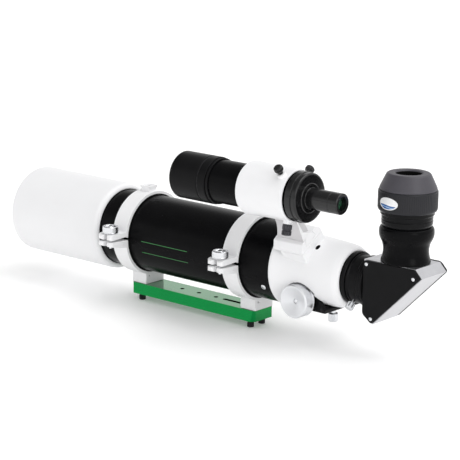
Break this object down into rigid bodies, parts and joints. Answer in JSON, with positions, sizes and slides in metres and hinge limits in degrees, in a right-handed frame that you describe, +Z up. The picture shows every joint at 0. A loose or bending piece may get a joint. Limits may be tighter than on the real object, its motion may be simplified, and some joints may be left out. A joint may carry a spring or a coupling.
{
  "type": "refractor telescope",
  "caption": "Refracting telescope tube on hinged clamp rings and a dovetail bar, with sliding focuser, mirror diagonal, wide eyepiece and straight finder on its own bracket",
  "frame": {"origin": "centre of the flat underside of the dovetail bar, where a mount's saddle takes it", "axes": "+X along the optical axis toward the eyepiece end, +Z up away from the bar, -Y the side of the ring clamp screws"},
  "size_m": [0.6526, 0.1761, 0.2383],
  "materials": {
    "white_enamel": "gloss white powder coat",
    "cast_white": "white painted die casting",
    "black_gloss": "gloss black paint",
    "black_satin": "black anodised, satin",
    "black_flat": "flat black anti-reflection paint",
    "black_felt": "black felt lining",
    "green_anodised": "green anodised",
    "chrome": "bright plated",
    "brushed_aluminium": "fine turned or brushed",
    "dark_steel": "black oxide",
    "dark_grey": "dark grey coating with ribbed grip",
    "soft_rubber": "matt rubber",
    "coated_glass": "multi-coated",
    "silvered_glass": "front-silvered"
  },
  "bodies": {
    "optical_tube": {"main_tube": "black_gloss", "objective_cell": "black_satin", "crown_lens": "coated_glass", "flint_lens": "coated_glass", "lens_retaining_ring": "black_flat", "tube_baffle": "black_flat", "front_ring_lower": "cast_white", "front_liner_lower": "black_felt", "front_hinge_pin": "chrome", "rear_ring_lower": "cast_white", "rear_liner_lower": "black_felt", "rear_hinge_pin": "chrome", "dovetail_bar": "green_anodised", "front_bar_bolt_near": "dark_steel", "front_bar_bolt_far": "dark_steel", "rear_bar_bolt_near": "dark_steel", "rear_bar_bolt_far": "dark_steel", "focuser_body": "white_enamel", "tube_screw_1": "chrome", "tube_screw_2": "chrome", "tube_screw_3": "chrome", "shaft_carrier": "black_satin", "finder_shoe": "cast_white"},
    "dew_shield": {"dew_shield": "white_enamel"},
    "front_ring_cap": {"front_ring_upper": "cast_white", "front_liner_upper": "black_felt"},
    "front_clamp_screw": {"front_clamp_screw": "chrome"},
    "rear_ring_cap": {"rear_ring_upper": "cast_white", "rear_liner_upper": "black_felt"},
    "rear_clamp_screw": {"rear_clamp_screw": "chrome"},
    "focus_shaft": {"focus_shaft": "chrome", "focus_knob_near": "brushed_aluminium", "focus_knob_far": "brushed_aluminium"},
    "fine_focus_knob": {"fine_focus_knob": "dark_steel"},
    "tension_screw": {"tension_screw": "chrome"},
    "drawtube": {"drawtube": "black_satin", "drawtube_adapter": "black_satin"},
    "adapter_screw_near": {"adapter_screw_near": "chrome"},
    "adapter_screw_far": {"adapter_screw_far": "chrome"},
    "diagonal": {"diagonal_body": "brushed_aluminium", "diagonal_mirror": "silvered_glass", "diagonal_plate_near": "black_satin", "diagonal_plate_far": "black_satin", "diagonal_nose": "chrome", "eyepiece_holder": "black_gloss"},
    "eyepiece": {"eyepiece_body": "dark_grey", "eyepiece_cup": "soft_rubber", "eyepiece_eye_lens": "coated_glass"},
    "finder": {"finder_bracket": "white_enamel", "finder_tube": "black_gloss", "finder_rear_cell": "black_gloss", "finder_eyepiece": "black_gloss", "finder_eye_lens": "coated_glass", "finder_spring_plunger": "chrome"},
    "finder_objective": {"finder_objective_cell": "black_satin", "finder_objective_lens": "coated_glass"},
    "finder_lock_ring": {"finder_lock_ring": "black_satin"},
    "finder_adjust_screw_near": {"finder_adjust_screw_near": "black_gloss"},
    "finder_adjust_screw_far": {"finder_adjust_screw_far": "black_gloss"},
    "finder_shoe_screw": {"finder_shoe_screw": "chrome"}
  },
  "joints": [
    {"name": "dew_shield_slide", "type": "slide", "parent": "optical_tube", "child": "dew_shield", "axis": [-1, 0, 0], "range_m": [0, 0.075]},
    {"name": "front_ring_open", "type": "hinge", "parent": "optical_tube", "child": "front_ring_cap", "pos_m": [-0.093, 0.0608, 0.0825], "axis": [-1, 0, 0], "range_deg": [0, 100]},
    {"name": "front_clamp_turn", "type": "hinge", "parent": "front_ring_cap", "child": "front_clamp_screw", "pos_m": [-0.093, -0.072, 0.0874], "axis": [0, 0, 1], "continuous": true},
    {"name": "rear_ring_open", "type": "hinge", "parent": "optical_tube", "child": "rear_ring_cap", "pos_m": [0.093, 0.0608, 0.0825], "axis": [-1, 0, 0], "range_deg": [0, 100]},
    {"name": "rear_clamp_turn", "type": "hinge", "parent": "rear_ring_cap", "child": "rear_clamp_screw", "pos_m": [0.093, -0.072, 0.0874], "axis": [0, 0, 1], "continuous": true},
    {"name": "focus_turn", "type": "hinge", "parent": "optical_tube", "child": "focus_shaft", "pos_m": [0.191, 0, 0.05], "axis": [0, 1, 0], "range_deg": [0, 1590]},
    {"name": "fine_focus_turn", "type": "hinge", "parent": "optical_tube", "child": "fine_focus_knob", "pos_m": [0.191, 0.0547, 0.05], "axis": [0, 1, 0], "range_deg": [0, 15900]},
    {"name": "drawtube_travel", "type": "slide", "parent": "optical_tube", "child": "drawtube", "axis": [1, 0, 0], "range_m": [0, 0.075]},
    {"name": "tension_screw_turn", "type": "hinge", "parent": "optical_tube", "child": "tension_screw", "pos_m": [0.214, 0, 0.032], "axis": [0, 0, 1], "continuous": true},
    {"name": "adapter_screw_near_turn", "type": "hinge", "parent": "drawtube", "child": "adapter_screw_near", "pos_m": [0.2606, 0, 0.081], "axis": [0, -0.7431, -0.6691], "continuous": true},
    {"name": "adapter_screw_far_turn", "type": "hinge", "parent": "drawtube", "child": "adapter_screw_far", "pos_m": [0.2606, 0, 0.081], "axis": [0, 0.9511, -0.309], "continuous": true},
    {"name": "diagonal_turn", "type": "hinge", "parent": "drawtube", "child": "diagonal", "pos_m": [0.276, 0, 0.081], "axis": [1, 0, 0], "continuous": true},
    {"name": "eyepiece_lift", "type": "slide", "parent": "diagonal", "child": "eyepiece", "axis": [0, 0, 1], "range_m": [0, 0.03]},
    {"name": "finder_slide", "type": "slide", "parent": "optical_tube", "child": "finder", "axis": [-1, 0, 0], "range_m": [0, 0.04]},
    {"name": "finder_focus_turn", "type": "hinge", "parent": "finder", "child": "finder_objective", "pos_m": [0.067, -0.07841, 0.18892], "axis": [1, 0, 0], "continuous": true},
    {"name": "finder_lock_turn", "type": "hinge", "parent": "finder", "child": "finder_lock_ring", "pos_m": [0.0982, -0.07841, 0.18892], "axis": [1, 0, 0], "continuous": true},
    {"name": "finder_adjust_near_turn", "type": "hinge", "parent": "finder", "child": "finder_adjust_screw_near", "pos_m": [0.206, -0.07841, 0.18892], "axis": [0, -0.5878, 0.809], "continuous": true},
    {"name": "finder_adjust_far_turn", "type": "hinge", "parent": "finder", "child": "finder_adjust_screw_far", "pos_m": [0.206, -0.07841, 0.18892], "axis": [0, 0.809, 0.5878], "continuous": true},
    {"name": "finder_shoe_screw_turn", "type": "hinge", "parent": "optical_tube", "child": "finder_shoe_screw", "pos_m": [0.164, -0.0338, 0.12752], "axis": [0, 0.809, 0.5878], "continuous": true}
  ],
  "couplings": [
    {"joint": "drawtube_travel", "follows": "focus_turn", "m_per_rad": 0.0027},
    {"joint": "fine_focus_turn", "follows": "focus_turn", "ratio": 10}
  ]
}
